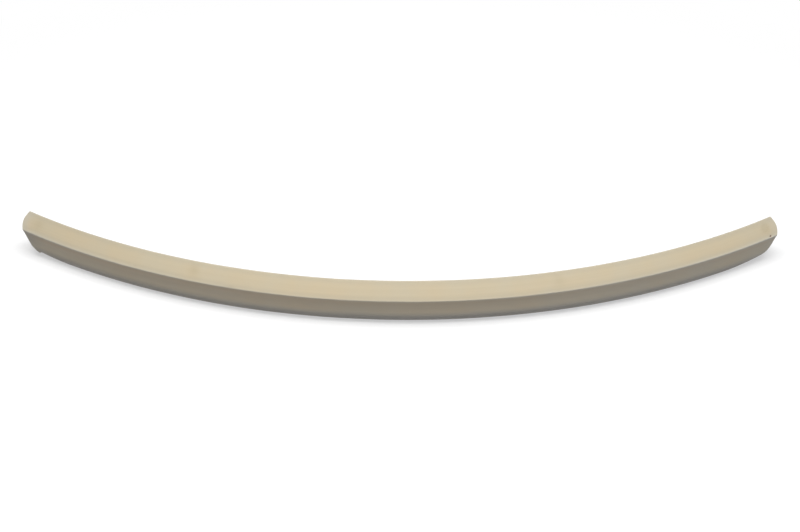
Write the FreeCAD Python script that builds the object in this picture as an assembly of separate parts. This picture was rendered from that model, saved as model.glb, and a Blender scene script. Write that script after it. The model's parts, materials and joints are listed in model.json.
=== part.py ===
"""Front bumper lip: one flexible polyurethane moulding, open at the back.

One section is carried round a circular arc in plan: a sloping ramp, a crisp nose line, a waisted
front face, a rounded chin and a flat flange that runs back under the bumper. Each end is cut off along
a line that slants in plan, with a rounded outline, and a wall as thick as the rest closes it. The lower
corners were trimmed by hand after moulding, so the two differ.

Frame: +X to the right as seen from in front of the car, +Y towards the car, +Z up. The origin is on
the centre line, on the underside of the flange and midway across its flat.
Lengths are in millimetres and angles in degrees.
"""
import FreeCAD, Part
import os
from collections import namedtuple
from math import asin, cos, degrees, radians, sin, sqrt
from FreeCAD import Vector

# Plan
PLAN_RADIUS = 1300.0          # of the nose line, seen from above
END_SPAN = 1405.0             # between the points where the two end cuts meet the nose line's circle
END_CUT_ANGLE = 15.0          # how far the end cuts turn from straight back towards each other

# Section: u runs back from the nose line, z runs up from the underside
NOSE_HEIGHT = 51.0            # of the nose line above the underside
NOSE_RADIUS = 3.0
RAMP_DEPTH = 26.5             # from the nose line back to the bonding land
RAMP_RISE = 29.5
RAMP_CROWN = 0.4              # how far the ramp bows out between its edges
WAIST_RADIUS = 90.0           # of the hollow in the front face
CHIN_RADIUS = 18.0
CHIN_SETBACK = 1.0            # how far the chin stays behind the nose line
FLANGE_DEPTH = 56.0           # from the nose line to the flange's back edge
WALL = 5.0
ROOT_RADIUS = 2.0             # inside the nose
EDGE_RADIUS = 1.5             # of the outer edges

# Ends seen along their cuts: a straight lead, a top round, a hollow flank, a flatter side and a trimmed
# lower corner, each tangent to the next
END_LEAD_ANGLE = 39.0         # of the lead from upright
END_TOP_RADIUS = 18.0
END_TOP_RISE = 8.7            # of the top round's centre, above the nose line
END_TOP_ANGLE = 38.0          # the top round hands over to the flank when it has turned this far under
END_FLANK_RADIUS = 6.0
END_SIDE_ANGLE = 19.0         # the flank hands over to the side when it has turned back to this
END_SIDE_RADIUS = 100.0
END_WALL_LAND = 14.0          # height of the end wall's upright back edge, from the ramp's top down

# A lower corner: the turn under where its round starts, the round, and the turn where it runs out straight
Corner = namedtuple("Corner", "start_angle radius end_angle")
LEFT_CORNER = Corner(start_angle=35.0, radius=17.0, end_angle=82.0)
RIGHT_CORNER = Corner(start_angle=28.0, radius=30.0, end_angle=82.0)

# Screw holes through the flange
SCREW_HOLE_DIAMETER = 5.5
SCREW_HOLE_COUNT = 6
SCREW_HOLE_SPAN = 1070.0      # across the car between the outermost holes

CUT_MARGIN = 20.0             # how far cutting solids reach past what they cut


def section_point(u, z):
    return Vector(0, u, z)


NOSE = section_point(0, NOSE_HEIGHT)
RAMP_TOP = section_point(RAMP_DEPTH, NOSE_HEIGHT + RAMP_RISE)
CHIN_CENTRE = section_point(CHIN_SETBACK + CHIN_RADIUS, CHIN_RADIUS)
FLANGE_MIDDLE = (CHIN_CENTRE.y + FLANGE_DEPTH) / 2
PLAN_CENTRE = Vector(0, PLAN_RADIUS, 0)
UP = Vector(0, 0, 1)


def circles_meet(centre_a, radius_a, centre_b, radius_b, near):
    """Where two circles of the section cross: of the two points, the one nearer to a given point."""
    apart = centre_b - centre_a
    along = (apart.Length ** 2 + radius_a ** 2 - radius_b ** 2) / (2 * apart.Length)
    aside = sqrt(radius_a ** 2 - along ** 2)
    axis = apart / apart.Length
    across = section_point(-axis.z, axis.y)
    foot = centre_a + axis * along
    return min((foot + across * aside, foot - across * aside), key=near.distanceToPoint)


def towards(centre, point, radius):
    """The point at a radius from a centre, on the way to another point."""
    return centre + (point - centre).normalize() * radius


def arc(centre, start, end):
    """The shorter circular arc between two points about a centre."""
    middle = towards(centre, (start + end) / 2, centre.distanceToPoint(start))
    return Part.Arc(start, middle, end).toShape()


def line(start, end):
    return Part.LineSegment(start, end).toShape()


def ramp_circle():
    """Centre and radius of the ramp's crown, from its chord and how far it bows out."""
    chord = RAMP_TOP - NOSE
    radius = (chord.Length ** 2 / 4 + RAMP_CROWN ** 2) / (2 * RAMP_CROWN)
    inward = section_point(chord.z, -chord.y).normalize()
    return (NOSE + RAMP_TOP) / 2 + inward * (radius - RAMP_CROWN), radius


def ramp_point(u, inset):
    """The ramp's point at a depth u, set in from the outside."""
    centre, radius = ramp_circle()
    return section_point(u, centre.z + sqrt((radius - inset) ** 2 - (u - centre.y) ** 2))


def waist_centre():
    """Centre of the front face's hollow: it passes through the nose and is tangent to the chin."""
    ahead = section_point(-WAIST_RADIUS, NOSE_HEIGHT)
    return circles_meet(CHIN_CENTRE, CHIN_RADIUS + WAIST_RADIUS, NOSE, WAIST_RADIUS, ahead)


def front_curve(inset, nose_radius, ramp_end):
    """Ramp, nose, face and chin as tangent arcs, set in from the outside. Also gives the curve's foot."""
    crown_centre, crown_radius = ramp_circle()
    ramp_radius = crown_radius - inset
    hollow_centre, hollow_radius = waist_centre(), WAIST_RADIUS + inset
    nose_centre = circles_meet(
        crown_centre, ramp_radius - nose_radius, hollow_centre, hollow_radius + nose_radius, NOSE)
    nose_top = towards(crown_centre, nose_centre, ramp_radius)
    nose_foot = towards(hollow_centre, nose_centre, hollow_radius)
    chin_top = towards(CHIN_CENTRE, hollow_centre, CHIN_RADIUS - inset)
    chin_foot = CHIN_CENTRE - section_point(0, CHIN_RADIUS - inset)
    edges = [
        arc(crown_centre, ramp_end, nose_top),
        arc(nose_centre, nose_top, nose_foot),
        arc(hollow_centre, nose_foot, chin_top),
        arc(CHIN_CENTRE, chin_top, chin_foot),
    ]
    return edges, chin_foot


def carried_round(edges):
    """A closed section carried round the plan's arc, past both ends of the part."""
    end_turn = asin(END_SPAN / 2 / (PLAN_RADIUS - FLANGE_DEPTH))
    turn = degrees(end_turn + CUT_MARGIN / PLAN_RADIUS)
    face = Part.Face(Part.Wire(edges))
    face.rotate(PLAN_CENTRE, UP, -turn)
    return face.revolve(PLAN_CENTRE, UP, 2 * turn)


def end_block(corner, inset):
    """A block that runs back through the part along the right end's cut, with the end's outline on one side.

    The outline is set in from the outside, with x from its outermost point. Each piece is described by
    how far it has turned under, from 0 where it faces straight out sideways.
    """
    def out(angle):
        return Vector(cos(radians(angle)), 0, -sin(radians(angle)))

    def down(angle):
        return Vector(-sin(radians(angle)), 0, -cos(radians(angle)))

    top_centre = Vector(-END_TOP_RADIUS, 0, NOSE_HEIGHT + END_TOP_RISE)
    flank_centre = top_centre + out(END_TOP_ANGLE) * (END_TOP_RADIUS + END_FLANK_RADIUS)
    side_centre = flank_centre - out(END_SIDE_ANGLE) * (END_FLANK_RADIUS + END_SIDE_RADIUS)
    corner_centre = side_centre + out(corner.start_angle) * (END_SIDE_RADIUS - corner.radius)
    top_start = top_centre + out(-END_LEAD_ANGLE) * (END_TOP_RADIUS - inset)
    flank_start = top_centre + out(END_TOP_ANGLE) * (END_TOP_RADIUS - inset)
    side_start = side_centre + out(END_SIDE_ANGLE) * (END_SIDE_RADIUS - inset)
    corner_start = side_centre + out(corner.start_angle) * (END_SIDE_RADIUS - inset)
    corner_end = corner_centre + out(corner.end_angle) * (corner.radius - inset)
    lead_height = RAMP_TOP.z + CUT_MARGIN - top_start.z
    lead_top = top_start - down(-END_LEAD_ANGLE) * (lead_height / cos(radians(END_LEAD_ANGLE)))
    run_out = corner_end.z + CUT_MARGIN
    foot = corner_end + down(corner.end_angle) * (run_out / cos(radians(corner.end_angle)))
    far_foot = Vector(-2 * PLAN_RADIUS, 0, foot.z)
    far_top = Vector(-2 * PLAN_RADIUS, 0, lead_top.z)
    face = Part.Face(Part.Wire([
        line(lead_top, top_start),
        arc(top_centre, top_start, flank_start),
        arc(flank_centre, flank_start, side_start),
        arc(side_centre, side_start, corner_start),
        arc(corner_centre, corner_start, corner_end),
        line(corner_end, foot),
        line(foot, far_foot),
        line(far_foot, far_top),
        line(far_top, lead_top),
    ]))
    face.translate(Vector(0, -PLAN_RADIUS, 0))
    block = face.extrude(Vector(0, 2 * PLAN_RADIUS, 0))
    block.rotate(Vector(), UP, END_CUT_ANGLE)
    end_turn = asin(END_SPAN / 2 / PLAN_RADIUS)
    block.translate(PLAN_CENTRE + Vector(sin(end_turn), -cos(end_turn), 0) * PLAN_RADIUS)
    return block


def between_ends(solid, inset):
    """What is left of a solid between the two ends' outlines, set in from the outside."""
    right = end_block(RIGHT_CORNER, inset)
    left = end_block(LEFT_CORNER, inset).mirror(Vector(), Vector(1, 0, 0))
    return solid.common(right).common(left)


def outside():
    """The lip's outer form, filled to its end walls' back edges.

    It is made smaller by the edge radius all round and grown back, which rolls every outer edge.
    """
    land_u = RAMP_DEPTH - EDGE_RADIUS
    flange_u = FLANGE_DEPTH - EDGE_RADIUS
    ramp_end = ramp_point(land_u, EDGE_RADIUS)
    land_foot = section_point(land_u, RAMP_TOP.z - END_WALL_LAND)
    flange_top = section_point(flange_u, WALL - EDGE_RADIUS)
    flange_foot = section_point(flange_u, EDGE_RADIUS)
    front, chin_foot = front_curve(EDGE_RADIUS, NOSE_RADIUS - EDGE_RADIUS, ramp_end)
    filled = carried_round(front + [
        line(chin_foot, flange_foot),
        line(flange_foot, flange_top),
        line(flange_top, land_foot),
        line(land_foot, ramp_end),
    ])
    core = between_ends(filled, EDGE_RADIUS).removeSplitter()
    return core.makeOffsetShape(EDGE_RADIUS, 0.001, join=0)


def hollow():
    """The space inside the walls, open at the back."""
    mouth_u = FLANGE_DEPTH + CUT_MARGIN
    ramp_end = ramp_point(RAMP_DEPTH + WALL, WALL)
    mouth_foot = section_point(mouth_u, WALL)
    mouth_top = section_point(mouth_u, ramp_end.z)
    front, chin_foot = front_curve(WALL, ROOT_RADIUS, ramp_end)
    inside = carried_round(front + [
        line(chin_foot, mouth_foot),
        line(mouth_foot, mouth_top),
        line(mouth_top, ramp_end),
    ])
    return between_ends(inside, WALL)


def screw_holes():
    """Upright cutters for the flange's screw holes, evenly spaced along its middle."""
    circle = PLAN_RADIUS - FLANGE_MIDDLE
    last_turn = asin(SCREW_HOLE_SPAN / 2 / circle)
    step = 2 * last_turn / (SCREW_HOLE_COUNT - 1)
    cutters = []
    for i in range(SCREW_HOLE_COUNT):
        turn = i * step - last_turn
        foot = PLAN_CENTRE + Vector(circle * sin(turn), -circle * cos(turn), -CUT_MARGIN)
        cutters.append(Part.makeCylinder(SCREW_HOLE_DIAMETER / 2, WALL + 2 * CUT_MARGIN, foot))
    return Part.makeCompound(cutters)


def bumper_lip():
    lip = outside().cut(hollow()).cut(screw_holes())
    lip.translate(Vector(0, -FLANGE_MIDDLE, 0))
    return lip


if __name__ == "__main__":
    os.makedirs("parts", exist_ok=True)
    part = bumper_lip()
    part.exportStep("parts/bumper_lip.step")
    print("solids %d, valid %s, volume %.1f cm3" % (len(part.Solids), part.isValid(), part.Volume / 1000))
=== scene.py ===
"""Front bumper lip: the finished surface of the moulding, its raw polyurethane and a plain studio.

The file is laid out as an add-on and runs as a script. Its frame is the part's own: +X to the right as seen
from in front of the car, +Y towards the car, +Z up, with the origin on the centre line, on the underside of
the flange and midway across its flat. Lengths are in metres and angles in radians.

A point of the section has a depth, back from the nose line, and a height above the underside. A turn about
the upright axis through the plan's centre carries it along the lip.
"""
import json
from collections import namedtuple
from math import pi, radians

import bmesh
import bpy
import numpy as np
from bpy.props import FloatProperty, FloatVectorProperty, PointerProperty
from mathutils import Matrix, Vector


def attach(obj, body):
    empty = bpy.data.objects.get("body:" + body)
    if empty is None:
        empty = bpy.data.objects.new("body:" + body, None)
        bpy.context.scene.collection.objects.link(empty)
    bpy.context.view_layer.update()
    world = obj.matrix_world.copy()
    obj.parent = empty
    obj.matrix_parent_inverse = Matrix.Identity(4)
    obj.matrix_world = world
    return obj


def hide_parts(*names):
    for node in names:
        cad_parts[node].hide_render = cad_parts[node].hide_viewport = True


bl_info = {
    "name": "Front bumper lip",
    "version": (1, 0, 0),
    "blender": (4, 5, 0),
    "location": "View3D > Sidebar > Bumper lip",
    "description": "Builds a moulded front bumper lip in raw polyurethane, on a plain studio floor",
    "category": "Object",
}

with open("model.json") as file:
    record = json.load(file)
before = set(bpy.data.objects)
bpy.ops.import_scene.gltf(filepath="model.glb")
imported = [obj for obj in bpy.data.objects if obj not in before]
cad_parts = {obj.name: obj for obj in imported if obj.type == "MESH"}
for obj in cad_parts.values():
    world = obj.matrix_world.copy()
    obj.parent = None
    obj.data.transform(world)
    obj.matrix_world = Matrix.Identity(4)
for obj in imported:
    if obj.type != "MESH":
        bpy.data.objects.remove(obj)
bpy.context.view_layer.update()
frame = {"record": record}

NODE = "bumper_lip"
BODY = "root"
MM = 0.001

# Rows of the surface, in steps from the top edge to the flange's foot: first round the outside
EDGE_STEPS = 4
RAMP_STEPS = 22
NOSE_STEPS = 8
FACE_STEPS = 18
CHIN_STEPS = 14
UNDERSIDE_STEPS = 12
# and then round the inside, where they add up to as many
LAND_STEPS = 3
INNER_RAMP_STEPS = 18
ROOT_STEPS = 5
INNER_FACE_STEPS = 16
INNER_CHIN_STEPS = 12
FLOOR_STEPS = 14
SLANT_STEPS = 1
HEEL_STEPS = 2
BACK_STEPS = 3
# of the inner rows, those that meet the upright part of an end wall's back edge
UPRIGHT_STEPS = 5
RAMP_GRADING = 1.35           # above 1 draws the ramp's rows together towards the nose

# Columns of the surface
LENGTH_STEPS = 400
END_CROWDING = 0.6            # share by which the columns crowd towards the ends
PIT_STEPS = 14                # extra columns across the pinhole
PIT_REACH = 2.0               # how far out they go, in the pinhole's half lengths
PIT_CLEARANCE = 1.1           # times that reach, within which no other column stands
WALL_STEPS = 8
RIM_STEPS = 2

# Grid cells that a screw hole's surround takes up, along and across the flange
HOLE_CELLS_ALONG = 6
HOLE_CELLS_ACROSS = 4

# Directions in the section, as angles from straight back
BACK = 0.0
UP = 0.5 * pi
DOWN = 1.5 * pi
DOWN_AND_BACK = 1.75 * pi

MIRROR = np.array([-1.0, 1.0, 1.0])
WELD_DISTANCE = 0.002 * MM
SHARP_ANGLE = radians(35)
LEAST_TURN = 1e-4             # directions closer than this count as one

# Fin of flash: steps along it and round it, and the share of the way at which it stands out furthest
FIN_STEPS = 20
FIN_SIDES = 16
FIN_PEAK = 0.8

# Marks on the ramp: place along the arc, share of the way up the ramp, half sizes of both, and strength
Mark = namedtuple("Mark", "along share half_length half_share strength")
SMUDGES = (
    Mark(-0.376, 0.52, 0.009, 0.30, 1.0),
    Mark(0.286, 0.46, 0.011, 0.28, 0.7),
    Mark(-0.7085, 0.50, 0.010, 0.26, 0.9),
    Mark(0.7180, 0.54, 0.0075, 0.19, 2.4),
    Mark(-0.488, 0.10, 0.003, 0.05, 0.9),
)
PALE_SPOTS = (
    Mark(-0.358, 0.74, 0.009, 0.14, 1.0),
    Mark(0.302, 0.70, 0.010, 0.14, 0.8),
)
SCUFF = Mark(-0.305, 0.03, 0.010, 0.06, 1.0)
PINHOLE = Mark(0.7238, 0.084, 0.0019, 0.034, 1.0)
SKIN_DEPTH = 2.0 * MM         # how far off the ramp's chord a mark still shows

# Bands of painted light and shade, and of paler ends: place, half width and strength. A pair is for the lip's
# middle and for its ends
Band = namedtuple("Band", "place half_width strength")
# Painted highlight along the nose line
NOSE_HIGHLIGHT = (Band(0.0, 2.8 * MM, 0.5), Band(0.0, 4.8 * MM, 1.0))
NOSE_HIGHLIGHT_BELOW = 1.2 * MM     # half width down the face
# Paler skin within the outlines of the two ends
END_PALENESS = Band(0.0, 14.0 * MM, 1.0)
LEFT_RAMP_PALENESS = 0.9           # shares of that band at the two ends of the ramp
RIGHT_RAMP_PALENESS = 0.45
FACE_PALENESS = 0.3                # and at both ends of the face
# Painted warm light below the nose line, strongest at the left
WARM_LIGHT_BAND = Band(3.0 * MM, 11.0 * MM, 1.0)
WARM_LIGHT_FADE = 350.0 * MM        # it weakens from this far left of the middle to as far right of it
WARM_LIGHT_RIGHT = 0.5              # share of it that is left there
ROLL_STEEPNESS = 4.0          # the back edge is wholly in painted shade a quarter of its radius behind the roll's start
# Painted shade: on the back edge and a little below it, on the chin, on the face beside the left end and in a
# line above the nose
BACK_SHADE = Band(0.0, 7.0 * MM, 0.4)
FRONT_BAND = Band(8.0 * MM, 8.0 * MM, 1.0)
CHIN_SHADE = (Band(17.3 * MM, 6.0 * MM, 0.97), Band(17.3 * MM, 6.0 * MM, 0.77))
FACE_SHADE = Band(-735.0 * MM, 30.0 * MM, 0.6)
LINE_SHADE = (Band(5.0 * MM, 3.2 * MM, 0.17), Band(7.0 * MM, 3.2 * MM, 0.17))

# Slow waves of the flexible wall: share of their height, lengths along the lip and up it, and start
Wave = namedtuple("Wave", "share length rise start")
WAVES = (Wave(0.6, 310.0 * MM, np.inf, 0.7), Wave(0.4, 117.0 * MM, 160.0 * MM, 2.1))

# Patterns in the polyurethane. Real wipe streaks are about 1 mm wide and the mould's grain 0.2 mm, too fine
# to show, so both are drawn coarser
MATERIAL = "polyurethane_raw_cast"
CLOUD_SIZE = 70.0 * MM
STREAK_LENGTH = 400.0 * MM
STREAK_WIDTH = 5.0 * MM
STREAK_RANGE = (0.3, 0.7)     # of the noise, from no streak to a full one
GRAIN_SIZE = 1.2 * MM
GRAIN_HEIGHT = 0.4 * MM
GRAIN_STRENGTH = 0.12
SHEEN_SPREAD = 0.05           # how far the streaks change the roughness, either way

# Soft boxes: size, place, the point that each faces, and tint
SoftBox = namedtuple("SoftBox", "width depth place target tint")
SOFT_BOXES = {
    "key": SoftBox(3.2, 2.0, (0.0, 0.1, 2.2), (0.0, 0.05, 0.0), "#FFFFFF"),
    "front": SoftBox(3.0, 1.2, (0.0, -2.8, 0.9), (0.0, 0.0, 0.05), "#FFFFFF"),
    "side": SoftBox(1.0, 1.0, (2.2, -1.6, 0.9), (0.35, 0.0, 0.0), "#B4D2FF"),
}
FLOOR_HALF = 12.0
CAMERA_TARGET = (-2.068 * MM, -36.974 * MM, 130.221 * MM)  # the point that the camera looks at
SENSOR_WIDTH = 36.0           # in millimetres, as the lens is
WHITE = (1.0, 1.0, 1.0, 1.0)


def linear(hex_colour):
    """Linear red, green and blue of an sRGB hex colour."""
    srgb = np.array([int(hex_colour[i:i + 2], 16) for i in (1, 3, 5)]) / 255
    return tuple(np.where(srgb <= 0.04045, srgb / 12.92, ((srgb + 0.055) / 1.055) ** 2.4))


def length(name, description, millimetres):
    return FloatProperty(
        name=name, description=description, default=millimetres * MM, min=0.0, precision=4, unit="LENGTH")


def angle(name, description, degrees):
    return FloatProperty(
        name=name, description=description, default=radians(degrees), precision=4, unit="ROTATION")


def colour(name, description, hex_colour):
    return FloatVectorProperty(
        name=name, description=description, default=linear(hex_colour), min=0.0, max=1.0, subtype="COLOR")


def power(name, description, watts):
    return FloatProperty(name=name, description=description, default=watts, min=0.0, unit="POWER")


def amount(name, description, value, highest=1.0):
    return FloatProperty(name=name, description=description, default=value, min=0.0, max=highest)


class LipShape(bpy.types.PropertyGroup):
    """Sizes of the moulding."""
    plan_radius: length("Plan radius", "Of the nose line, seen from above", 1300.0)
    end_span: length("End span", "Between the points where the end cuts meet the nose line's circle", 1405.0)
    end_cut: angle("End cut", "How far the end cuts turn from straight back towards each other", 15.0)
    nose_height: length("Nose height", "Of the nose line above the underside", 51.0)
    nose_radius: length("Nose radius", "Of the crisp line between ramp and face", 3.0)
    ramp_depth: length("Ramp depth", "From the nose line back to the bonding land", 26.5)
    ramp_rise: length("Ramp rise", "From the nose line up to the ramp's top", 29.5)
    ramp_crown: length("Ramp crown", "How far the ramp bows out between its edges", 0.4)
    waist_radius: length("Waist radius", "Of the hollow in the front face", 90.0)
    chin_radius: length("Chin radius", "Of the round from the face to the underside", 18.0)
    chin_setback: length("Chin setback", "How far the chin stays behind the nose line", 1.0)
    flange_depth: length("Flange depth", "From the nose line to the flange's back edge", 56.0)
    wall: length("Wall", "Thickness all over", 5.0)
    root_radius: length("Root radius", "Inside the nose", 2.0)
    edge_radius: length("Edge radius", "Of the rolled outer edges", 1.5)
    end_lead: angle("End lead", "Of the straight lead above an end's upper round, from upright", 39.0)
    end_top_radius: length("End top radius", "Of an end's upper round, seen along its cut", 18.0)
    end_top_rise: length("End top rise", "Of that round's centre above the nose line", 8.7)
    end_top_angle: angle("End top angle", "Turn under where the upper round hands over to the flank", 38.0)
    end_flank_radius: length("End flank radius", "Of the hollow flank under the upper round", 6.0)
    end_side_angle: angle("End side angle", "Turn under where the flank hands over to the side", 19.0)
    end_side_radius: length("End side radius", "Of an end's flatter side, seen along its cut", 100.0)
    end_wall_land: length("End wall land", "Height of an end wall's upright back edge", 14.0)
    left_start: angle("Left corner start", "Turn under where the left lower round starts", 35.0)
    left_radius: length("Left corner radius", "Of the left lower round", 17.0)
    left_end: angle("Left corner end", "Turn under where the left corner runs out straight", 82.0)
    right_start: angle("Right corner start", "Turn under where the right lower round starts", 28.0)
    right_radius: length("Right corner radius", "Of the right lower round", 30.0)
    right_end: angle("Right corner end", "Turn under where the right corner runs out straight", 82.0)
    pinhole_depth: length("Pinhole depth", "Of the burst bubble beside the nose line", 1.3)
    scuff_depth: length("Scuff depth", "Of the knock on the nose line", 0.35)
    wave_height: length("Wave height", "How far the flexible wall strays from its true line", 0.12)
    flash_reach: length("Flash reach", "How far the fin of flash stands out of the left trimmed corner", 3.6)
    flash_top: length("Flash top", "Height at which that fin starts", 17.0)
    flash_foot: length("Flash foot", "Height at which that fin ends", 13.6)
    flash_thickness: length("Flash thickness", "Of that fin at its tip", 1.6)


class LipFinish(bpy.types.PropertyGroup):
    """Colours and gloss of the moulding."""
    base: colour("Polyurethane", "Raw polyurethane, as cast", "#CFC2A5")
    # Tint of the random warm clouds, and of the painted warm light below the nose line
    warm_tone_and_light: colour("Warm patches", "Where the cast skin is a little thinner", "#D4C09B")
    # Tint of the pale spots, of the painted highlight along the nose line and of the paler ends
    edge: colour("Edges", "Rubbed and trimmed edges, paler and greyer", "#D0C8B4")
    # Tint of the painted shade on the back edge, the chin, a line above the nose and the face beside the left
    # end
    shade_tint: colour("Dull skin", "Where handling has dulled the skin", "#B4AC99")
    smudge: colour("Smudges", "Finger marks left on the raw skin", "#A9986F")
    pinhole: colour("Pinhole", "Inside of the burst bubble", "#6B4436")
    roughness: amount("Roughness", "Satin skin that the mould's release wax leaves", 0.5)
    ior: amount("IOR", "Refractive index of polyurethane", 1.5, 3.0)


class LipStage(bpy.types.PropertyGroup):
    """Camera, lights and floor."""
    camera_distance: length("Camera distance", "From the camera to the point it looks at", 2640.0)
    camera_height: angle("Camera elevation", "Of the camera above the horizon", 37.69)
    camera_side: angle("Camera azimuth", "Of the camera's look, turned from straight back", 0.515)
    camera_roll: angle("Camera roll", "Tilt of the camera about its look", 0.716)
    lens: FloatProperty(
        name="Lens", description="Focal length for a 36 mm sensor", default=69.158, min=1.0, unit="CAMERA")
    key_power: power("Key power", "Of the soft box overhead", 88.0)
    front_power: power("Front power", "Of the soft box in front", 5.0)
    side_power: power("Side power", "Of the weak cool light from the right", 4.0)
    ambient: amount("Ambient", "Strength of the light from all round", 0.05)
    floor: colour("Floor", "Floor as it lights the lip", "#8E92A4")
    floor_glow: amount("Floor glow", "Share of the pale floor that shows whatever the light", 0.5)
    fade_start: length("Fade start", "From the middle to where the floor starts to fade to white", 850.0)
    fade_end: length("Fade end", "From the middle to where the floor is plain white", 1400.0)


Corner = namedtuple("Corner", "start radius end")
Rows = namedtuple("Rows", "core normal")


def left_corner(size):
    return Corner(size.left_start, size.left_radius, size.left_end)


def right_corner(size):
    return Corner(size.right_start, size.right_radius, size.right_end)


def flange_middle(size):
    """Depth of the frame's origin: midway between the chin's foot and the flange's back edge."""
    return (size.chin_setback + size.chin_radius + size.flange_depth) / 2


def vectors(*parts):
    """Vectors from arrays of their parts, all spread to one shape."""
    return np.stack(np.broadcast_arrays(*parts), axis=-1)


def directions(angles):
    """Unit vectors of the section, (cosine, sine), from angles that start at straight back."""
    return vectors(np.cos(angles), np.sin(angles))


def heading(start, end):
    """Angle of the way from one point of the section to another, from 0 to a full turn."""
    return np.arctan2(end[1] - start[1], end[0] - start[0]) % (2 * pi)


def circles_meet(centre_a, radius_a, centre_b, radius_b, near):
    """Of the two points where two circles cross, the one nearer to a given point.

    With the centres a distance d apart, the crossings lie (d*d + a*a - b*b) / 2d along the line between
    them, and aside of it by what Pythagoras leaves of the radius a.
    """
    apart = centre_b - centre_a
    distance = np.hypot(*apart)
    along = (distance ** 2 + radius_a ** 2 - radius_b ** 2) / (2 * distance)
    aside = np.sqrt(radius_a ** 2 - along ** 2)
    axis = apart / distance
    across = np.array([-axis[1], axis[0]])
    found = [centre_a + axis * along + across * side for side in (aside, -aside)]
    return min(found, key=lambda point: np.hypot(*(point - near)))


def arc_rows(centre, radius, start, end, steps, grading=1.0):
    """Points and normals of an arc, all but its last: centre + radius * normal, as the normal turns.

    A negative radius makes the arc hollow, and a radius of 0 only turns the normal, as on an edge.
    """
    share = 1 - (1 - np.arange(steps) / steps) ** grading
    normal = directions(start + (end - start) * share)
    return centre + radius * normal, normal


def line_rows(start, end, facing, steps):
    """Evenly spaced points of a straight line, all but its last, with the one normal that it has."""
    share = np.arange(steps)[:, None] / steps
    return start + (end - start) * share, np.repeat(directions(facing)[None], steps, axis=0)


def joined(runs, last_point, last_angle):
    """One run of rows from several, with the last run's own last point added."""
    core = np.concatenate([points for points, _ in runs] + [last_point[None]])
    normal = np.concatenate([normals for _, normals in runs] + [directions(last_angle)[None]])
    return Rows(core, normal)


Section = namedtuple("Section", "crown crown_radius nose waist chin nose_top nose_foot chin_top")


def section_circles(size, inset, nose_radius):
    """Centres of the section's tangent arcs, set in from the outside, and the normals' angles at their joins.

    The ramp's crown comes from its chord and how far it bows out, the waist passes through the nose line and
    touches the chin, and the nose's round touches ramp and face.
    """
    nose_line = np.array([0.0, size.nose_height])
    chord = np.array([size.ramp_depth, size.ramp_rise])
    chord_length = np.hypot(*chord)
    crown_radius = (chord_length ** 2 / 4 + size.ramp_crown ** 2) / (2 * size.ramp_crown)
    inward = np.array([chord[1], -chord[0]]) / chord_length
    crown = nose_line + chord / 2 + inward * (crown_radius - size.ramp_crown)
    chin = np.array([size.chin_setback + size.chin_radius, size.chin_radius])
    ahead = nose_line - np.array([size.waist_radius, 0.0])
    waist = circles_meet(chin, size.chin_radius + size.waist_radius, nose_line, size.waist_radius, ahead)
    nose = circles_meet(
        crown, crown_radius - inset - nose_radius, waist, size.waist_radius + inset + nose_radius, nose_line)
    return Section(
        crown, crown_radius, nose, waist, chin,
        nose_top=heading(crown, nose), nose_foot=heading(nose, waist), chin_top=heading(chin, waist))


def ramp_angle(section, inset, depth):
    """The ramp's normal, as an angle, at a depth and set in from the outside."""
    return np.arccos((depth - section.crown[0]) / (section.crown_radius - inset))


def front_runs(size, section, inset, nose_radius, ramp_start, steps, grading):
    """Ramp, nose, face and chin as arcs that share a normal where they join."""
    ramp_steps, nose_steps, face_steps, chin_steps = steps
    return [
        arc_rows(
            section.crown, section.crown_radius - inset, ramp_start, section.nose_top, ramp_steps, grading),
        arc_rows(section.nose, nose_radius, section.nose_top, section.nose_foot, nose_steps),
        arc_rows(section.waist, -size.waist_radius - inset, section.nose_foot, section.chin_top, face_steps),
        arc_rows(section.chin, size.chin_radius - inset, section.chin_top, DOWN, chin_steps),
    ]


def top_edge(size):
    """The top edge's centre, which is the land and the ramp set in by the edge radius, and its angle."""
    section = section_circles(size, size.edge_radius, size.nose_radius - size.edge_radius)
    depth = size.ramp_depth - size.edge_radius
    start = ramp_angle(section, size.edge_radius, depth)
    return section.crown + (section.crown_radius - size.edge_radius) * directions(start), start


def outside_rows(size):
    """Rows round the outside, from the middle of the top edge to the middle of the flange's lower edge.

    The rows are set in by the edge radius. Grown back along their normals they give the outside, and where a
    row's point stands still while its normal turns, they give a rolled edge.
    """
    inset = size.edge_radius
    nose_radius = size.nose_radius - inset
    section = section_circles(size, inset, nose_radius)
    top, ramp_start = top_edge(size)
    chin_foot = np.array([section.chin[0], inset])
    flange_foot = np.array([size.flange_depth - inset, inset])
    steps = (RAMP_STEPS, NOSE_STEPS, FACE_STEPS, CHIN_STEPS)
    runs = [
        arc_rows(top, 0.0, ramp_start / 2, ramp_start, EDGE_STEPS),
        *front_runs(size, section, inset, nose_radius, ramp_start, steps, RAMP_GRADING),
        line_rows(chin_foot, flange_foot, DOWN, UNDERSIDE_STEPS),
        arc_rows(flange_foot, 0.0, DOWN, DOWN_AND_BACK, EDGE_STEPS),
    ]
    return joined(runs, flange_foot, DOWN_AND_BACK)


Inside = namedtuple("Inside", "back hollow first_hollow last_hollow")


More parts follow.
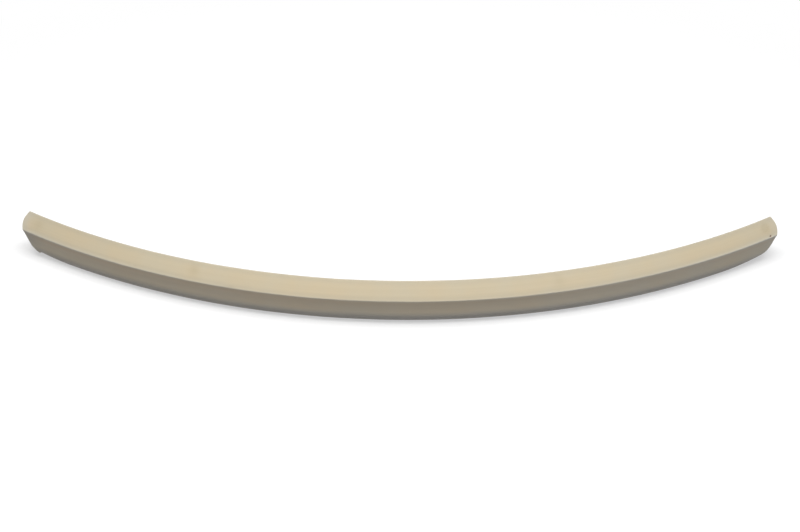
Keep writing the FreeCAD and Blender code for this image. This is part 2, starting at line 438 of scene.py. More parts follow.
def inside_rows(size):
    """Rows round the inside, from the middle of the top edge to the middle of the flange's lower edge.

    Each has a point on the end walls' back edge, set in by the edge radius, and a point of the land, the
    hollow or the flange's back. The hollow is the outside's section set in by the wall.
    """
    inset = size.edge_radius
    section = section_circles(size, size.wall, size.root_radius)
    top, ramp_start = top_edge(size)
    rim_start = ramp_angle(section, size.wall, size.ramp_depth)
    rim = section.crown + (section.crown_radius - size.wall) * directions(rim_start)
    land_foot = np.array([top[0], size.nose_height + size.ramp_rise - size.end_wall_land])
    flange_top = np.array([size.flange_depth - inset, size.wall - inset])
    flange_foot = np.array([size.flange_depth - inset, inset])

    # The back edge slants from the land's foot to the flange, and the floor of the hollow ends on it
    slant = (land_foot - flange_top) / np.hypot(*(land_foot - flange_top))
    slant_angle = np.arctan2(-slant[0], slant[1])
    slant_normal = directions(slant_angle)
    grown = flange_top + inset * slant_normal
    floor_end = grown + slant * (size.wall - grown[1]) / slant[1]
    elbow_depth = top[0] + inset
    elbow = grown + slant * (elbow_depth - grown[0]) / slant[0]
    floor_start = np.array([section.chin[0], size.wall])
    beside_rim = np.array([top[0], rim[1]])

    hollow_steps = INNER_RAMP_STEPS + ROOT_STEPS + INNER_FACE_STEPS + INNER_CHIN_STEPS + FLOOR_STEPS
    before = [
        arc_rows(top, 0.0, ramp_start / 2, BACK, EDGE_STEPS),
        line_rows(top, beside_rim, BACK, LAND_STEPS),
    ]
    beside = [
        line_rows(beside_rim, np.array([top[0], elbow[1]]), BACK, UPRIGHT_STEPS),
        line_rows(
            elbow - inset * slant_normal, floor_end - inset * slant_normal, slant_angle,
            hollow_steps - UPRIGHT_STEPS),
    ]
    after = [
        line_rows(floor_end - inset * slant_normal, flange_top, slant_angle, SLANT_STEPS),
        arc_rows(flange_top, 0.0, slant_angle, BACK, HEEL_STEPS),
        line_rows(flange_top, flange_foot, BACK, BACK_STEPS),
        arc_rows(flange_foot, 0.0, BACK, DOWN_AND_BACK - 2 * pi, EDGE_STEPS),
    ]
    back = joined(before + beside + after, flange_foot, DOWN_AND_BACK)
    first = EDGE_STEPS + LAND_STEPS
    last = first + hollow_steps
    steps = (INNER_RAMP_STEPS, ROOT_STEPS, INNER_FACE_STEPS, INNER_CHIN_STEPS)
    runs = front_runs(size, section, size.wall, size.root_radius, rim_start, steps, 1.0)
    runs.append(line_rows(floor_start, floor_end, UP, FLOOR_STEPS))
    hollow = back.core + inset * back.normal
    hollow[first:last] = np.concatenate([points for points, _ in runs])
    return Inside(back, hollow, first, last)


def placed(size, point, turn):
    """A section point carried round the plan's arc: with r the plan radius less the depth, x is r times the
    sine of the turn, y the plan radius less r times its cosine, and z the height."""
    radius = size.plan_radius - point[..., 0]
    y = size.plan_radius - radius * np.cos(turn) - flange_middle(size)
    return vectors(radius * np.sin(turn), y, point[..., 1])


def carried(normal, turn):
    """A section normal carried round the plan's arc: depth points at the plan's centre."""
    inward = normal[..., 0]
    return vectors(-inward * np.sin(turn), inward * np.cos(turn), normal[..., 1])


EndCut = namedtuple("EndCut", "turn tip along")


def right_cut(size):
    """The right end's cut: turn and place where it meets the nose line's circle, and the way across it."""
    turn = np.arcsin(size.end_span / 2 / size.plan_radius)
    along = np.array([np.cos(size.end_cut), np.sin(size.end_cut), 0.0])
    return EndCut(turn, placed(size, np.zeros(2), turn), along)


def cut_turn(size, depth, reach):
    """Turn at which a depth's circle meets a plane along the right end's cut, a reach out from the cut.

    The plane passes the plan's centre at the plan radius times the sine of the turn left to the cut, plus the
    reach. The arcsine of that over the circle's radius is a turn from the cut's own way back.
    """
    passing = size.plan_radius * np.sin(right_cut(size).turn - size.end_cut) + reach
    return size.end_cut + np.arcsin(passing / (size.plan_radius - depth))


def on_cut(size, points, reach):
    """Points slid across the right end's cut until they are a reach out from it."""
    cut = right_cut(size)
    return points + (reach - (points - cut.tip) @ cut.along)[..., None] * cut.along


def end_reach(size, corner, inset, height):
    """How far the end's outline reaches out from its cut at a height, and the outward normal there.

    The outline, set in from the outside, is a straight lead, four tangent arcs and a straight run-out. On an
    arc, the turn under is the arcsine of the drop from its centre over its radius, and the reach is its
    centre's plus the radius times the cosine. The flank is hollow, so its radius is negative.
    """
    def out(turn):
        return np.array([np.cos(turn), -np.sin(turn)])

    top = np.array([-size.end_top_radius, size.nose_height + size.end_top_rise])
    flank = top + out(size.end_top_angle) * (size.end_top_radius + size.end_flank_radius)
    side = flank - out(size.end_side_angle) * (size.end_flank_radius + size.end_side_radius)
    low = side + out(corner.start) * (size.end_side_radius - corner.radius)
    foot = low + out(corner.end) * (corner.radius - inset)
    lead = top + out(-size.end_lead) * (size.end_top_radius - inset)
    reach = foot[0] - (foot[1] - height) * np.tan(corner.end)
    turn = np.full_like(height, corner.end)
    arcs = (
        (low, corner.radius, corner.end),
        (side, size.end_side_radius, corner.start),
        (flank, -size.end_flank_radius, size.end_side_angle),
        (top, size.end_top_radius, size.end_top_angle),
    )
    for centre, radius, last_turn in arcs:
        radius -= inset
        on_arc = height >= centre[1] - radius * np.sin(last_turn)
        arc_turn = np.arcsin(np.clip((centre[1] - height) / radius, -1, 1))
        reach = np.where(on_arc, centre[0] + radius * np.cos(arc_turn), reach)
        turn = np.where(on_arc, arc_turn, turn)
    reach = np.where(height > lead[1], lead[0] - (height - lead[1]) * np.tan(size.end_lead), reach)
    turn = np.where(height > lead[1], -size.end_lead, turn)[..., None]
    return reach, np.cos(turn) * right_cut(size).along - np.sin(turn) * np.array([0.0, 0.0, 1.0])


def turned(start, end, steps):
    """Unit vectors that turn evenly from one to another, along a great circle, on a new axis of columns."""
    share = np.linspace(0, 1, steps + 1)[:, None]
    between = np.arccos(np.clip((start * end).sum(-1), -1, 1))[:, None, None]
    swing = np.maximum(np.sin(between), LEAST_TURN)
    swung = (np.sin((1 - share) * between) * start[:, None] + np.sin(share * between) * end[:, None]) / swing
    even = (1 - share) * start[:, None] + share * end[:, None]
    return np.where(between > LEAST_TURN, swung, even)


def ruled(start, end, steps):
    """Straight lines between two rows of points, on a new axis of columns."""
    share = np.linspace(0, 1, steps + 1)[:, None]
    return start[:, None] + (end - start)[:, None] * share


End = namedtuple("End", "columns front_turn hollow_turn")


def end_columns(size, corner, front, inside):
    """One end, at +X: rolled front edge, wall, rolled back edge, rim and the wall's inside, as columns.

    The wall runs back along the cut, so on it only the height sets how far it reaches. Between the front's
    end and the back edge each row is a straight line, slid across the cut to its reach.
    """
    inset = size.edge_radius
    back = inside.back
    front_reach, front_out = end_reach(size, corner, inset, front.core[:, 1])
    back_reach, back_out = end_reach(size, corner, inset, back.core[:, 1])
    front_turn = cut_turn(size, front.core[:, 0], front_reach)
    back_turn = cut_turn(size, back.core[:, 0], back_reach)
    front_point = placed(size, front.core, front_turn)
    back_point = placed(size, back.core, back_turn)

    front_normal = carried(front.normal, front_turn)
    back_normal = carried(back.normal, back_turn)
    front_edge = front_point[:, None] + inset * turned(front_normal, front_out, 2 * EDGE_STEPS)
    back_edge = back_point[:, None] + inset * turned(back_out, back_normal, 2 * EDGE_STEPS)
    wall = ruled(front_point, back_point, WALL_STEPS)
    wall_reach, wall_out = end_reach(size, corner, inset, wall[..., 2])
    wall = on_cut(size, wall, wall_reach) + inset * wall_out

    # The rim crosses the back edge to the hollow, and closes up towards the top and the foot
    row = np.arange(len(back.core))
    rows = slice(inside.first_hollow, inside.last_hollow + 1)
    rim_point = back.core + inset * back.normal
    rim_reach, _ = end_reach(size, corner, size.wall, rim_point[rows, 1])
    rim_width = back_turn[rows] - cut_turn(size, rim_point[rows, 0], rim_reach)
    open_share = np.interp(row, [0, inside.first_hollow, inside.last_hollow, row[-1]], [0, 1, 1, 0])
    rim_turn = back_turn - np.interp(row, row[rows], rim_width) * open_share
    rim_turns = back_turn[:, None] + (rim_turn - back_turn)[:, None] * np.linspace(0, 1, RIM_STEPS + 1)
    rim = placed(size, rim_point[:, None], rim_turns)

    hollow_turn = rim_turn.copy()
    hollow_reach, _ = end_reach(size, corner, size.wall, inside.hollow[rows, 1])
    hollow_turn[rows] = cut_turn(size, inside.hollow[rows, 0], hollow_reach)
    inner_wall = ruled(rim[:, -1], placed(size, inside.hollow, hollow_turn), WALL_STEPS)
    inner_reach, _ = end_reach(size, corner, size.wall, inner_wall[rows, :, 2])
    inner_wall[rows] = on_cut(size, inner_wall[rows], inner_reach)
    columns = np.concatenate([front_edge, wall, back_edge, rim, inner_wall], axis=1)
    return End(columns, front_turn, hollow_turn)


def column_shares(size):
    """Places of the columns along the lip, from 0 at the left end to 1 at the right, closer near the ends.

    An even spacing is blended with a sine, whose steps shrink towards both ends. Across the pinhole there are
    extra columns.
    """
    even = np.linspace(-1, 1, LENGTH_STEPS + 1)
    shares = 0.5 + 0.5 * ((1 - END_CROWDING) * even + END_CROWDING * np.sin(even * pi / 2))
    half_turn = right_cut(size).turn
    middle = 0.5 + PINHOLE.along / size.plan_radius / (2 * half_turn)
    spread = PIT_REACH * PINHOLE.half_length / size.plan_radius / (2 * half_turn)
    clear = shares[np.abs(shares - middle) > PIT_CLEARANCE * spread]
    return np.sort(np.concatenate([clear, middle + spread * np.linspace(-1, 1, PIT_STEPS)]))


def moulding_grid(size):
    """The whole skin as a grid of rows and columns, each row a closed loop round the lip.

    A row runs along the outside from left to right, round the right end, back along the inside and round the
    left end. The first and the last row close up on themselves, along the top edge and the flange's foot.
    """
    front = outside_rows(size)
    inside = inside_rows(size)
    right = end_columns(size, right_corner(size), front, inside)
    left = end_columns(size, left_corner(size), front, inside)
    shares = column_shares(size)

    def turns(left_turn, right_turn):
        return -left_turn[:, None] + (left_turn + right_turn)[:, None] * shares

    front_turns = turns(left.front_turn, right.front_turn)
    hollow_turns = turns(left.hollow_turn, right.hollow_turn)[:, ::-1]
    grown = size.edge_radius * carried(front.normal[:, None], front_turns)
    outside = placed(size, front.core[:, None], front_turns) + grown
    hollow = placed(size, inside.hollow[:, None], hollow_turns)
    mirrored = (left.columns * MIRROR)[:, ::-1]
    grid = np.concatenate([outside, right.columns, hollow, mirrored], axis=1)
    return grid, len(shares), right.columns.shape[1]


def screw_places():
    """Centres of the screw holes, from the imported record's bolt patterns: pairs about the centre line."""
    patterns = [mount for mount in frame["record"]["mounts"] if mount["kind"] == "bolt_pattern"]
    places = []
    for mount in patterns:
        half = mount["dims"]["spacing_x_mm"] * MM / 2
        places += [(side * half, mount["pos_m"][1], mount["dims"]["hole_r_mm"] * MM) for side in (-1, 1)]
    return places


def window_loop(rows, columns):
    """Row and column numbers round the edge of a window in the grid, once round from its first corner."""
    across, along = len(rows) - 1, len(columns) - 1
    row_path = [np.repeat(rows[0], along), rows[:-1], np.repeat(rows[-1], along), rows[:0:-1]]
    column_path = [
        columns[:-1], np.repeat(columns[-1], across), columns[:0:-1], np.repeat(columns[0], across)]
    return np.concatenate(row_path), np.concatenate(column_path)


def drilled(grid, faces_kept, first_row, steps, columns, place):
    """Opens a window of the grid round a screw hole. Gives the window's loop and points of the hole's rim.

    The rim's points stand at even angles from the window's first corner, so that rims above and below match.
    """
    x, y, radius = place
    rows = np.arange(first_row, first_row + steps + 1)
    flat = grid[np.ix_(rows, columns)]
    distance = np.hypot(flat[..., 0] - x, flat[..., 1] - y)
    row, column = np.unravel_index(distance.argmin(), distance.shape)
    half_across = HOLE_CELLS_ACROSS // 2
    half_along = HOLE_CELLS_ALONG // 2
    row = np.clip(row, half_across, steps - half_across)
    window_rows = rows[row - half_across:row + half_across + 1]
    window_columns = columns[column - half_along:column + half_along + 1]
    cell_columns = np.minimum(window_columns[:-1], window_columns[1:])
    faces_kept[np.ix_(window_rows[:-1], cell_columns)] = False
    loop = window_loop(window_rows, window_columns)
    corner = grid[loop[0][0], loop[1][0]]
    start = np.arctan2(corner[1] - y, corner[0] - x)
    angles = start + 2 * pi * np.arange(len(loop[0])) / len(loop[0])
    rim = vectors(x + radius * np.cos(angles), y + radius * np.sin(angles), corner[2])
    return loop[0] * grid.shape[1] + loop[1], rim


def grid_faces(number):
    """Quads between the points of a grid, from the points' numbers: down a row, along a column and back."""
    return np.stack([number[:-1, :-1], number[1:, :-1], number[1:, 1:], number[:-1, 1:]], axis=-1)


def ring_faces(outer, inner):
    """Quads between two closed loops of as many points."""
    return np.stack([outer, np.roll(outer, -1), np.roll(inner, -1), inner], axis=-1)


def moulding_mesh(size):
    """Points and faces of the moulding, with its screw holes."""
    grid, along, end_width = moulding_grid(size)
    row_count, column_count = grid.shape[:2]
    number = np.arange(row_count * column_count).reshape(row_count, column_count)
    quads = grid_faces(np.column_stack([number, number[:, 0]]))
    kept = np.ones(quads.shape[:2], bool)

    underside_row = EDGE_STEPS + RAMP_STEPS + NOSE_STEPS + FACE_STEPS + CHIN_STEPS
    floor_row = EDGE_STEPS + LAND_STEPS + INNER_RAMP_STEPS + ROOT_STEPS + INNER_FACE_STEPS + INNER_CHIN_STEPS
    outside_columns = np.arange(along)
    hollow_columns = np.arange(along + end_width, 2 * along + end_width)[::-1]
    points = [grid.reshape(-1, 3)]
    extra_faces = []
    count = row_count * column_count
    for place in screw_places():
        below, below_rim = drilled(grid, kept, underside_row, UNDERSIDE_STEPS, outside_columns, place)
        above, above_rim = drilled(grid, kept, floor_row, FLOOR_STEPS, hollow_columns, place)
        below_number = count + np.arange(len(below_rim))
        above_number = below_number + len(below_rim)
        count += len(below_rim) + len(above_rim)
        points += [below_rim, above_rim]
        extra_faces += [
            ring_faces(below_number, below),
            ring_faces(above, above_number),
            ring_faces(above_number, below_number)]
    return np.concatenate(points), np.concatenate([quads[kept], *extra_faces])


Unrolled = namedtuple("Unrolled", "along depth height")


def unrolled(size, points):
    """Places on the lip as if it were laid out straight: length along the arc, depth and height."""
    to_centre = size.plan_radius - flange_middle(size) - points[:, 1]
    along = size.plan_radius * np.arctan2(points[:, 0], to_centre)
    return Unrolled(along, size.plan_radius - np.hypot(points[:, 0], to_centre), points[:, 2])


def ramp_place(size, at):
    """Share of the way up the ramp's chord, and distance out of it."""
    chord = np.array([size.ramp_depth, size.ramp_rise])
    rise = at.height - size.nose_height
    chord_length = np.hypot(*chord)
    share = (at.depth * chord[0] + rise * chord[1]) / chord_length ** 2
    proud = (rise * chord[0] - at.depth * chord[1]) / chord_length
    return share, proud


def up_ramp(size, at):
    """Distance up the ramp from the nose line."""
    share, _ = ramp_place(size, at)
    return share * np.hypot(size.ramp_depth, size.ramp_rise)


def bell(distance):
    """A soft spot: 1 in the middle, and falling off as e to the minus distance squared."""
    return np.exp(-np.square(distance))


def marks_at(size, at, marks):
    """Strength of some marks on the ramp's outside: a bell along it times a bell across it."""
    share, proud = ramp_place(size, at)
    spots = [
        mark.strength
        * bell((at.along - mark.along) / mark.half_length)
        * bell((share - mark.share) / mark.half_share)
        for mark in marks]
    return bell(proud / SKIN_DEPTH) * np.sum(spots, axis=0)


def end_depth(size, corner, points):
    """How far points lie inside the right end's outline, square to it."""
    cut = right_cut(size)
    reach, out = end_reach(size, corner, 0.0, points[:, 2])
    return (reach - (points - cut.tip) @ cut.along) * np.hypot(out[:, 0], out[:, 1])


def band_at(band, distance):
    """A band's strength at a distance: a bell about its place."""
    return band.strength * bell((distance - band.place) / band.half_width)


def edged_band_at(band, distance):
    """A band's strength at a distance: even up to its place, and a bell beyond."""
    return band_at(band, np.maximum(distance, band.place))


def towards_ends(size, at, middle, ends):
    """A band that changes from the lip's middle to its ends, with the square of the place along the lip."""
    outwards = np.square(at.along / (size.end_span / 2))
    return Band(*(start + (end - start) * outwards for start, end in zip(middle, ends)))


def nose_highlight_and_pale_ends(size, points, at):
    """How strong the painted highlight along the nose line is, and how much paler the skin is within the
    outlines of the two ends.

    The nose line's band is wider up the ramp than down the face. The ends' are weaker on the face, and on the
    ramp the right one is weaker than the left.
    """
    above = up_ramp(size, at)
    nose = towards_ends(size, at, *NOSE_HIGHLIGHT)
    nose = nose._replace(half_width=np.where(above > 0, nose.half_width, NOSE_HIGHLIGHT_BELOW))
    left = edged_band_at(END_PALENESS, end_depth(size, left_corner(size), points * MIRROR))
    right = edged_band_at(END_PALENESS, end_depth(size, right_corner(size), points))
    on_ramp = at.height > size.nose_height - size.nose_radius
    ramp = np.maximum(LEFT_RAMP_PALENESS * left, RIGHT_RAMP_PALENESS * right)
    ends = np.where(on_ramp, ramp, FACE_PALENESS * np.maximum(left, right))
    return np.maximum(band_at(nose, above), ends)


def painted_warm_light(size, at):
    """How strong the painted warm light is: a band below the nose line that grows weaker from left to right.
    """
    below = size.nose_height - at.height
    left_over = np.interp(at.along, (-WARM_LIGHT_FADE, WARM_LIGHT_FADE), (1.0, WARM_LIGHT_RIGHT))
    return np.where(below > 0, left_over * band_at(WARM_LIGHT_BAND, below), 0.0)


def painted_shading(size, at):
    """How strong the painted shade is: on the ramp's rolled back edge and a little below it, from the chin
    down, on the face beside the left end, and in a faint line above the nose.

    The chin's and the face's bands fade out backwards.
    """
    top, ramp_start = top_edge(size)
    into_roll = (at.depth - top[0]) / size.edge_radius - np.cos(ramp_start)
    roll = np.where(at.height > top[1], np.clip(ROLL_STEEPNESS * into_roll, 0, 1), 0.0)
    below_roll = band_at(BACK_SHADE, np.hypot(at.depth - top[0], at.height - top[1]))
    front = edged_band_at(FRONT_BAND, at.depth)
    chin = front * edged_band_at(towards_ends(size, at, *CHIN_SHADE), at.height)
    on_face = at.height < size.nose_height - size.nose_radius / 2
    face = front * np.where(on_face, band_at(FACE_SHADE, at.along), 0.0)
    line = band_at(towards_ends(size, at, *LINE_SHADE), up_ramp(size, at))
    return np.max([roll, below_roll, chin, face, line], axis=0)


def strayed(size, points, normals):
    """The moulding's small faults, as a push along the normals: slow waves, a scuff and a burst bubble.

    The waves are sines of the place along the arc, which die out towards the ends. The scuff and the bubble
    are bells pressed in.
    """
    at = unrolled(size, points)
    waves = sum(
        wave.share * np.sin(2 * pi * (at.along / wave.length + at.height / wave.rise) + wave.start)
        for wave in WAVES)
    push = size.wave_height * waves * np.cos(np.clip(at.along / (size.end_span / 2), -1, 1) * pi / 2)
    push -= size.scuff_depth * marks_at(size, at, [SCUFF])
    push -= size.pinhole_depth * marks_at(size, at, [PINHOLE])
    resting = at.height < size.edge_radius
    return points + np.where(resting, 0.0, push)[:, None] * normals


def welded_mesh(name, points, faces):
    """A mesh with doubles merged, smooth but for its sharp edges."""
    mesh = bpy.data.meshes.new(name)
    mesh.from_pydata(points, [], faces.tolist())
    merged = bmesh.new()
    merged.from_mesh(mesh)
    bmesh.ops.remove_doubles(merged, verts=merged.verts, dist=WELD_DISTANCE)
    open_edges = [edge for edge in merged.edges if len(edge.link_faces) != 2]
    if open_edges:
        raise RuntimeError("%s: %d edges don't have two faces" % (name, len(open_edges)))
    merged.to_mesh(mesh)
    merged.free()
    mesh.shade_smooth()
    mesh.set_sharp_from_angle(angle=SHARP_ANGLE)
    return mesh


def read_vectors(collection, key):
    values = np.empty(len(collection) * 3)
    collection.foreach_get(key, values)
    return values.reshape(-1, 3)


def store(mesh, name, values):
    """Keeps one number or one vector per point on the mesh, for its material."""
    kind, key = ("FLOAT", "value") if values.ndim == 1 else ("FLOAT_VECTOR", "vector")
    mesh.attributes.new(name, kind, "POINT").data.foreach_set(key, values.ravel())


def store_marks(size, mesh):
    """Gives the material its places: the lip laid out straight, its painted highlight, warm light and shade,
    its paler ends and its marks.
    """
    points = read_vectors(mesh.vertices, "co")
    at = unrolled(size, points)
    store(mesh, "unrolled", np.column_stack(at))
    store(mesh, "highlight_and_pale_ends", nose_highlight_and_pale_ends(size, points, at))
    store(mesh, "painted_shade", painted_shading(size, at))
    store(mesh, "warm_light", painted_warm_light(size, at))
    for name, marks in (("smudged", SMUDGES), ("pale", PALE_SPOTS), ("pinhole", [PINHOLE])):
        store(mesh, name, marks_at(size, at, marks))


def add_node(tree, kind, inputs, **settings):
    """Adds a node with its settings, and fills its inputs with constants or links from other sockets."""
    node = tree.nodes.new(kind)
    for key, value in settings.items():
        setattr(node, key, value)
    for key, value in inputs.items():
        if isinstance(value, bpy.types.NodeSocket):
            tree.links.new(value, node.inputs[key])
        else:
            node.inputs[key].default_value = value
    return node


def empty_tree(block):
    block.use_nodes = True
    block.node_tree.nodes.clear()
    return block.node_tree


def opaque(rgb):
    return (*rgb, 1.0)


def raw_polyurethane(finish):
    """Polyurethane, cast in a waxed mould and left unpainted.

    The eye gets a creamy beige with a satin sheen, cloudy where the skin cured unevenly, faint streaks along
    the lip where the wax was wiped, and a fine grain from the mould. A painted highlight runs along the nose
    line and the ends are paler and greyer, painted warm light lies under the nose line, and painted shade
    darkens the chin, the back edge, a faint line above the nose and the face beside the left end.
    """
    material = bpy.data.materials.new(MATERIAL)
    tree = empty_tree(material)
    place = add_node(tree, "ShaderNodeTexCoord", {}).outputs["Object"]
    straight = add_node(tree, "ShaderNodeAttribute", {}, attribute_name="unrolled").outputs["Vector"]
    streak_scale = (1 / STREAK_LENGTH, 1 / STREAK_WIDTH, 1 / STREAK_WIDTH)
    stretched = add_node(tree, "ShaderNodeMapping", {"Vector": straight, "Scale": streak_scale})

    # Where each change of the skin shows: patterns first, each with its coordinates, scale and detail
    shows = {}
    patterns = {
        "clouds": (place, 1 / CLOUD_SIZE, 3.0),
        "streaks": (stretched.outputs["Vector"], 1.0, 2.0),
        "grain": (place, 1 / GRAIN_SIZE, 2.0),
    }
    for name, (vector, scale, detail) in patterns.items():
        noise = add_node(tree, "ShaderNodeTexNoise", {"Vector": vector, "Scale": scale, "Detail": detail})
        shows[name] = noise.outputs["Fac"]
    for name in ("warm_light", "smudged", "pale", "highlight_and_pale_ends", "painted_shade", "pinhole"):
        shows[name] = add_node(tree, "ShaderNodeAttribute", {}, attribute_name=name).outputs["Fac"]

    # Each layer of colour over the last: where it shows, the range over which it comes in, and its most
    layers = (
        ("clouds", 0.35, 0.65, 0.5, finish.warm_tone_and_light),
        # painted warm light below the nose line
        ("warm_light", 0.0, 1.0, 1.0, finish.warm_tone_and_light),
        ("streaks", *STREAK_RANGE, 0.07, finish.smudge),
        ("smudged", 0.0, 1.0, 0.22, finish.smudge),
        ("pale", 0.0, 1.0, 0.25, finish.edge),
        # painted highlight along the nose line, and paler ends
        ("highlight_and_pale_ends", 0.0, 1.0, 1.0, finish.edge),
        # painted shade
        ("painted_shade", 0.0, 1.0, 1.0, finish.shade_tint),
        ("pinhole", 0.15, 0.5, 1.0, finish.pinhole),
    )
    skin = opaque(finish.base)
    for name, low, high, most, tint in layers:
        share = add_node(tree, "ShaderNodeMapRange", {
            "Value": shows[name], "From Min": low, "From Max": high, "To Max": most}).outputs["Result"]
        skin = add_node(
            tree, "ShaderNodeMix", {"Factor": share, 6: skin, 7: opaque(tint)}, data_type="RGBA").outputs[2]

    sheen = add_node(tree, "ShaderNodeMapRange", {
        "Value": shows["streaks"], "From Min": STREAK_RANGE[0], "From Max": STREAK_RANGE[1],
        "To Min": finish.roughness - SHEEN_SPREAD, "To Max": finish.roughness + SHEEN_SPREAD})
    bump = add_node(tree, "ShaderNodeBump", {
        "Height": shows["grain"], "Strength": GRAIN_STRENGTH, "Distance": GRAIN_HEIGHT})
    shader = add_node(tree, "ShaderNodeBsdfPrincipled", {
        "Base Color": skin, "Roughness": sheen.outputs["Result"], "IOR": finish.ior,
        "Normal": bump.outputs["Normal"]})
    add_node(tree, "ShaderNodeOutputMaterial", {"Surface": shader.outputs["BSDF"]})
    return material


def shown(name, mesh, material):
    """Puts a finished mesh into the scene at the origin, in one material, on the lip's body."""
    piece = bpy.data.objects.new(name, mesh)
    mesh.materials.append(material)
    bpy.context.scene.collection.objects.link(piece)
    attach(piece, BODY)
    return piece


def polyurethane(context):
    """The lip's one material, made once."""
    return bpy.data.materials.get(MATERIAL) or raw_polyurethane(context.scene.lip_finish)


class LIP_OT_moulding(bpy.types.Operator):
    """Build the moulding: one closed skin with rolled edges, end walls, flange and screw holes."""
    bl_idname = "lip.moulding"
    bl_label = "Moulding"

    def execute(self, context):
        size = context.scene.lip_shape
        mesh = welded_mesh("lip_moulding", *moulding_mesh(size))
        points = read_vectors(mesh.vertices, "co")
        normals = read_vectors(mesh.vertex_normals, "vector")
        mesh.vertices.foreach_set("co", strayed(size, points, normals).ravel())
        mesh.update()
        store_marks(size, mesh)
        piece = shown("lip_moulding", mesh, polyurethane(context))
        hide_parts(NODE)
        return {"FINISHED"}


def flash_surface(size):
    """A fin of flash on the left lower corner: an ellipse carried along the trimmed edge.

    How far it stands out grows in a straight line up to its peak and falls to nothing after it, and its
    thickness goes as the square root of that.
    """
    front = outside_rows(size)
    corner = left_corner(size)
    edge = end_columns(size, corner, front, inside_rows(size)).columns[:, EDGE_STEPS]
    chin_row = EDGE_STEPS + RAMP_STEPS + NOSE_STEPS + FACE_STEPS
    down = edge[chin_row - FACE_STEPS // 2:chin_row + CHIN_STEPS]
    share = np.linspace(0, 1, FIN_STEPS + 1)
    height = size.flash_top + (size.flash_foot - size.flash_top) * share
    foot = vectors(*(np.interp(-height, -down[:, 2], down[:, axis]) for axis in range(3))) * MIRROR
    _, out = end_reach(size, corner, 0.0, height)
    out *= MIRROR
    across = np.cross(foot[-1] - foot[0], out)
    across /= np.linalg.norm(across, axis=-1, keepdims=True)
    rise = np.minimum(share / FIN_PEAK, (1 - share) / (1 - FIN_PEAK))[:, None]
    longitude = np.linspace(0, 2 * pi, FIN_SIDES + 1)[:, None, None]
    return (
        foot
        + size.flash_reach * rise * np.cos(longitude) * out
        + size.flash_thickness / 2 * np.sqrt(rise) * np.sin(longitude) * across)


class LIP_OT_flash(bpy.types.Operator):
    """Build the fin of flash that trimming left on the left lower corner."""
    bl_idname = "lip.flash"
    bl_label = "Flash fin"

    def execute(self, context):
        size = context.scene.lip_shape
        grid = flash_surface(size)
        number = np.arange(grid.shape[0] * grid.shape[1]).reshape(grid.shape[:2])
        mesh = welded_mesh("flash_fin", grid.reshape(-1, 3), grid_faces(number).reshape(-1, 4))
        store_marks(size, mesh)
        shown("flash_fin", mesh, polyurethane(context))
        return {"FINISHED"}


def by_ray(tree, lighting, seen):
    """One shader for rays that light the lip. Another for rays from the camera and for mirror-like and
    see-through ones, which show the background."""
    path = add_node(tree, "ShaderNodeLightPath", {})
    total = path.outputs["Is Camera Ray"]
    for kind in ("Is Glossy Ray", "Is Transmission Ray"):
        both = add_node(tree, "ShaderNodeMath", {0: total, 1: path.outputs[kind]}, use_clamp=True)
        total = both.outputs["Value"]
    return add_node(tree, "ShaderNodeMixShader", {"Fac": total, 1: lighting, 2: seen}).outputs["Shader"]


def pale_floor(stage):
    """Seamless studio paper: matt and white to the eye, a cool grey as it lights the lip.

    What shows is part glow and part lit paper, so that the lip's shadow stays. Away from the lip it fades to
    plain white.
    """
    material = bpy.data.materials.new("paper_seamless_white")
    tree = empty_tree(material)
    lit_share = 1 - stage.floor_glow
    lit = add_node(tree, "ShaderNodeBsdfDiffuse", {"Color": opaque((lit_share, lit_share, lit_share))})
    glow = add_node(tree, "ShaderNodeEmission", {"Color": WHITE, "Strength": stage.floor_glow})
    near = add_node(tree, "ShaderNodeAddShader", {0: lit.outputs["BSDF"], 1: glow.outputs["Emission"]})
    far = add_node(tree, "ShaderNodeEmission", {"Color": WHITE, "Strength": 1.0})
    place = add_node(tree, "ShaderNodeTexCoord", {}).outputs["Object"]
    distance = add_node(tree, "ShaderNodeVectorMath", {0: place}, operation="LENGTH").outputs["Value"]
    fade = {"Value": distance, "From Min": stage.fade_start, "From Max": stage.fade_end}
    away = add_node(tree, "ShaderNodeMapRange", fade, interpolation_type="SMOOTHSTEP")
    seen = add_node(tree, "ShaderNodeMixShader", {
        "Fac": away.outputs["Result"], 1: near.outputs["Shader"], 2: far.outputs["Emission"]})
    bounce = add_node(tree, "ShaderNodeBsdfDiffuse", {"Color": opaque(stage.floor)})
    surface = by_ray(tree, bounce.outputs["BSDF"], seen.outputs["Shader"])
    add_node(tree, "ShaderNodeOutputMaterial", {"Surface": surface})
    return material


def white_world(stage):
    """White to the eye, and a weak light from all round."""
    world = bpy.data.worlds.new("white_studio")
    tree = empty_tree(world)
    soft = add_node(tree, "ShaderNodeBackground", {"Color": WHITE, "Strength": stage.ambient})
    white = add_node(tree, "ShaderNodeBackground", {"Color": WHITE, "Strength": 1.0})
    surface = by_ray(tree, soft.outputs["Background"], white.outputs["Background"])
    add_node(tree, "ShaderNodeOutputWorld", {"Surface": surface})
    return world


def soft_box(name, watts):
    """Hangs a soft box where it belongs, facing its point."""
    box = SOFT_BOXES[name]
    lamp = bpy.data.lights.new(name, "AREA")
    lamp.shape = "RECTANGLE"
    lamp.size = box.width
    lamp.size_y = box.depth
    lamp.energy = watts
    lamp.color = linear(box.tint)
    light = bpy.data.objects.new(name, lamp)
    light.location = box.place
    light.rotation_euler = (Vector(box.target) - Vector(box.place)).to_track_quat("-Z", "Y").to_euler()
    bpy.context.scene.collection.objects.link(light)


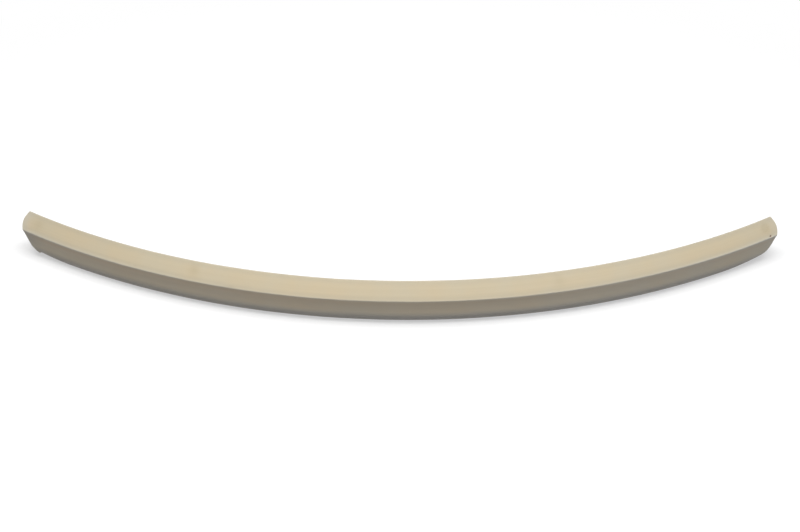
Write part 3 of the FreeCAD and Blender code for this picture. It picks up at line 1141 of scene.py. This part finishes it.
def camera_matrix(stage):
    """The camera's axes and place: its look from azimuth and elevation, a roll about it, and a distance."""
    look = Vector((
        np.sin(stage.camera_side) * np.cos(stage.camera_height),
        np.cos(stage.camera_side) * np.cos(stage.camera_height),
        -np.sin(stage.camera_height)))
    level = look.cross(Vector((0, 0, 1))).normalized()
    upright = level.cross(look)
    right = level * np.cos(stage.camera_roll) + upright * np.sin(stage.camera_roll)
    up = upright * np.cos(stage.camera_roll) - level * np.sin(stage.camera_roll)
    axes = Matrix((right, up, -look)).transposed().to_4x4()
    return Matrix.Translation(Vector(CAMERA_TARGET) - look * stage.camera_distance) @ axes


class LIP_OT_stage(bpy.types.Operator):
    """Set up the floor, the light and the camera."""
    bl_idname = "lip.stage"
    bl_label = "Stage"

    def execute(self, context):
        stage = context.scene.lip_stage
        mesh = bpy.data.meshes.new("floor")
        signs = ((-1, -1), (1, -1), (1, 1), (-1, 1))
        corners = [(FLOOR_HALF * x, FLOOR_HALF * y, 0.0) for x, y in signs]
        mesh.from_pydata(corners, [], [(0, 1, 2, 3)])
        mesh.materials.append(pale_floor(stage))
        floor = bpy.data.objects.new("floor", mesh)
        context.scene.collection.objects.link(floor)
        context.scene.world = white_world(stage)
        soft_box("key", stage.key_power)
        soft_box("front", stage.front_power)
        soft_box("side", stage.side_power)

        data = bpy.data.cameras.new("camera")
        data.sensor_fit = "HORIZONTAL"
        data.sensor_width = SENSOR_WIDTH
        data.lens = stage.lens
        camera = bpy.data.objects.new("camera", data)
        camera.matrix_world = camera_matrix(stage)
        context.scene.collection.objects.link(camera)
        context.scene.camera = camera
        context.scene.view_settings.view_transform = "Standard"
        return {"FINISHED"}


class LIP_PT_sidebar(bpy.types.Panel):
    """Lists the sizes, colours and build steps."""
    bl_idname = "LIP_PT_sidebar"
    bl_label = "Bumper lip"
    bl_space_type = "VIEW_3D"
    bl_region_type = "UI"
    bl_category = "Bumper lip"

    def draw(self, context):
        for operator in OPERATORS:
            self.layout.operator(operator.bl_idname)
        for settings in (context.scene.lip_shape, context.scene.lip_finish, context.scene.lip_stage):
            box = self.layout.box()
            for name in settings.__annotations__:
                box.prop(settings, name)


SETTINGS = {"lip_shape": LipShape, "lip_finish": LipFinish, "lip_stage": LipStage}
OPERATORS = (LIP_OT_moulding, LIP_OT_flash, LIP_OT_stage)


def register():
    for cls in (*SETTINGS.values(), *OPERATORS, LIP_PT_sidebar):
        bpy.utils.register_class(cls)
    for name, cls in SETTINGS.items():
        setattr(bpy.types.Scene, name, PointerProperty(type=cls))


def unregister():
    for name in SETTINGS:
        delattr(bpy.types.Scene, name)
    for cls in (LIP_PT_sidebar, *OPERATORS, *SETTINGS.values()):
        bpy.utils.unregister_class(cls)


def main():
    register()
    bpy.ops.lip.moulding()
    bpy.ops.lip.flash()
    bpy.ops.lip.stage()


if __name__ == "__main__":
    main()
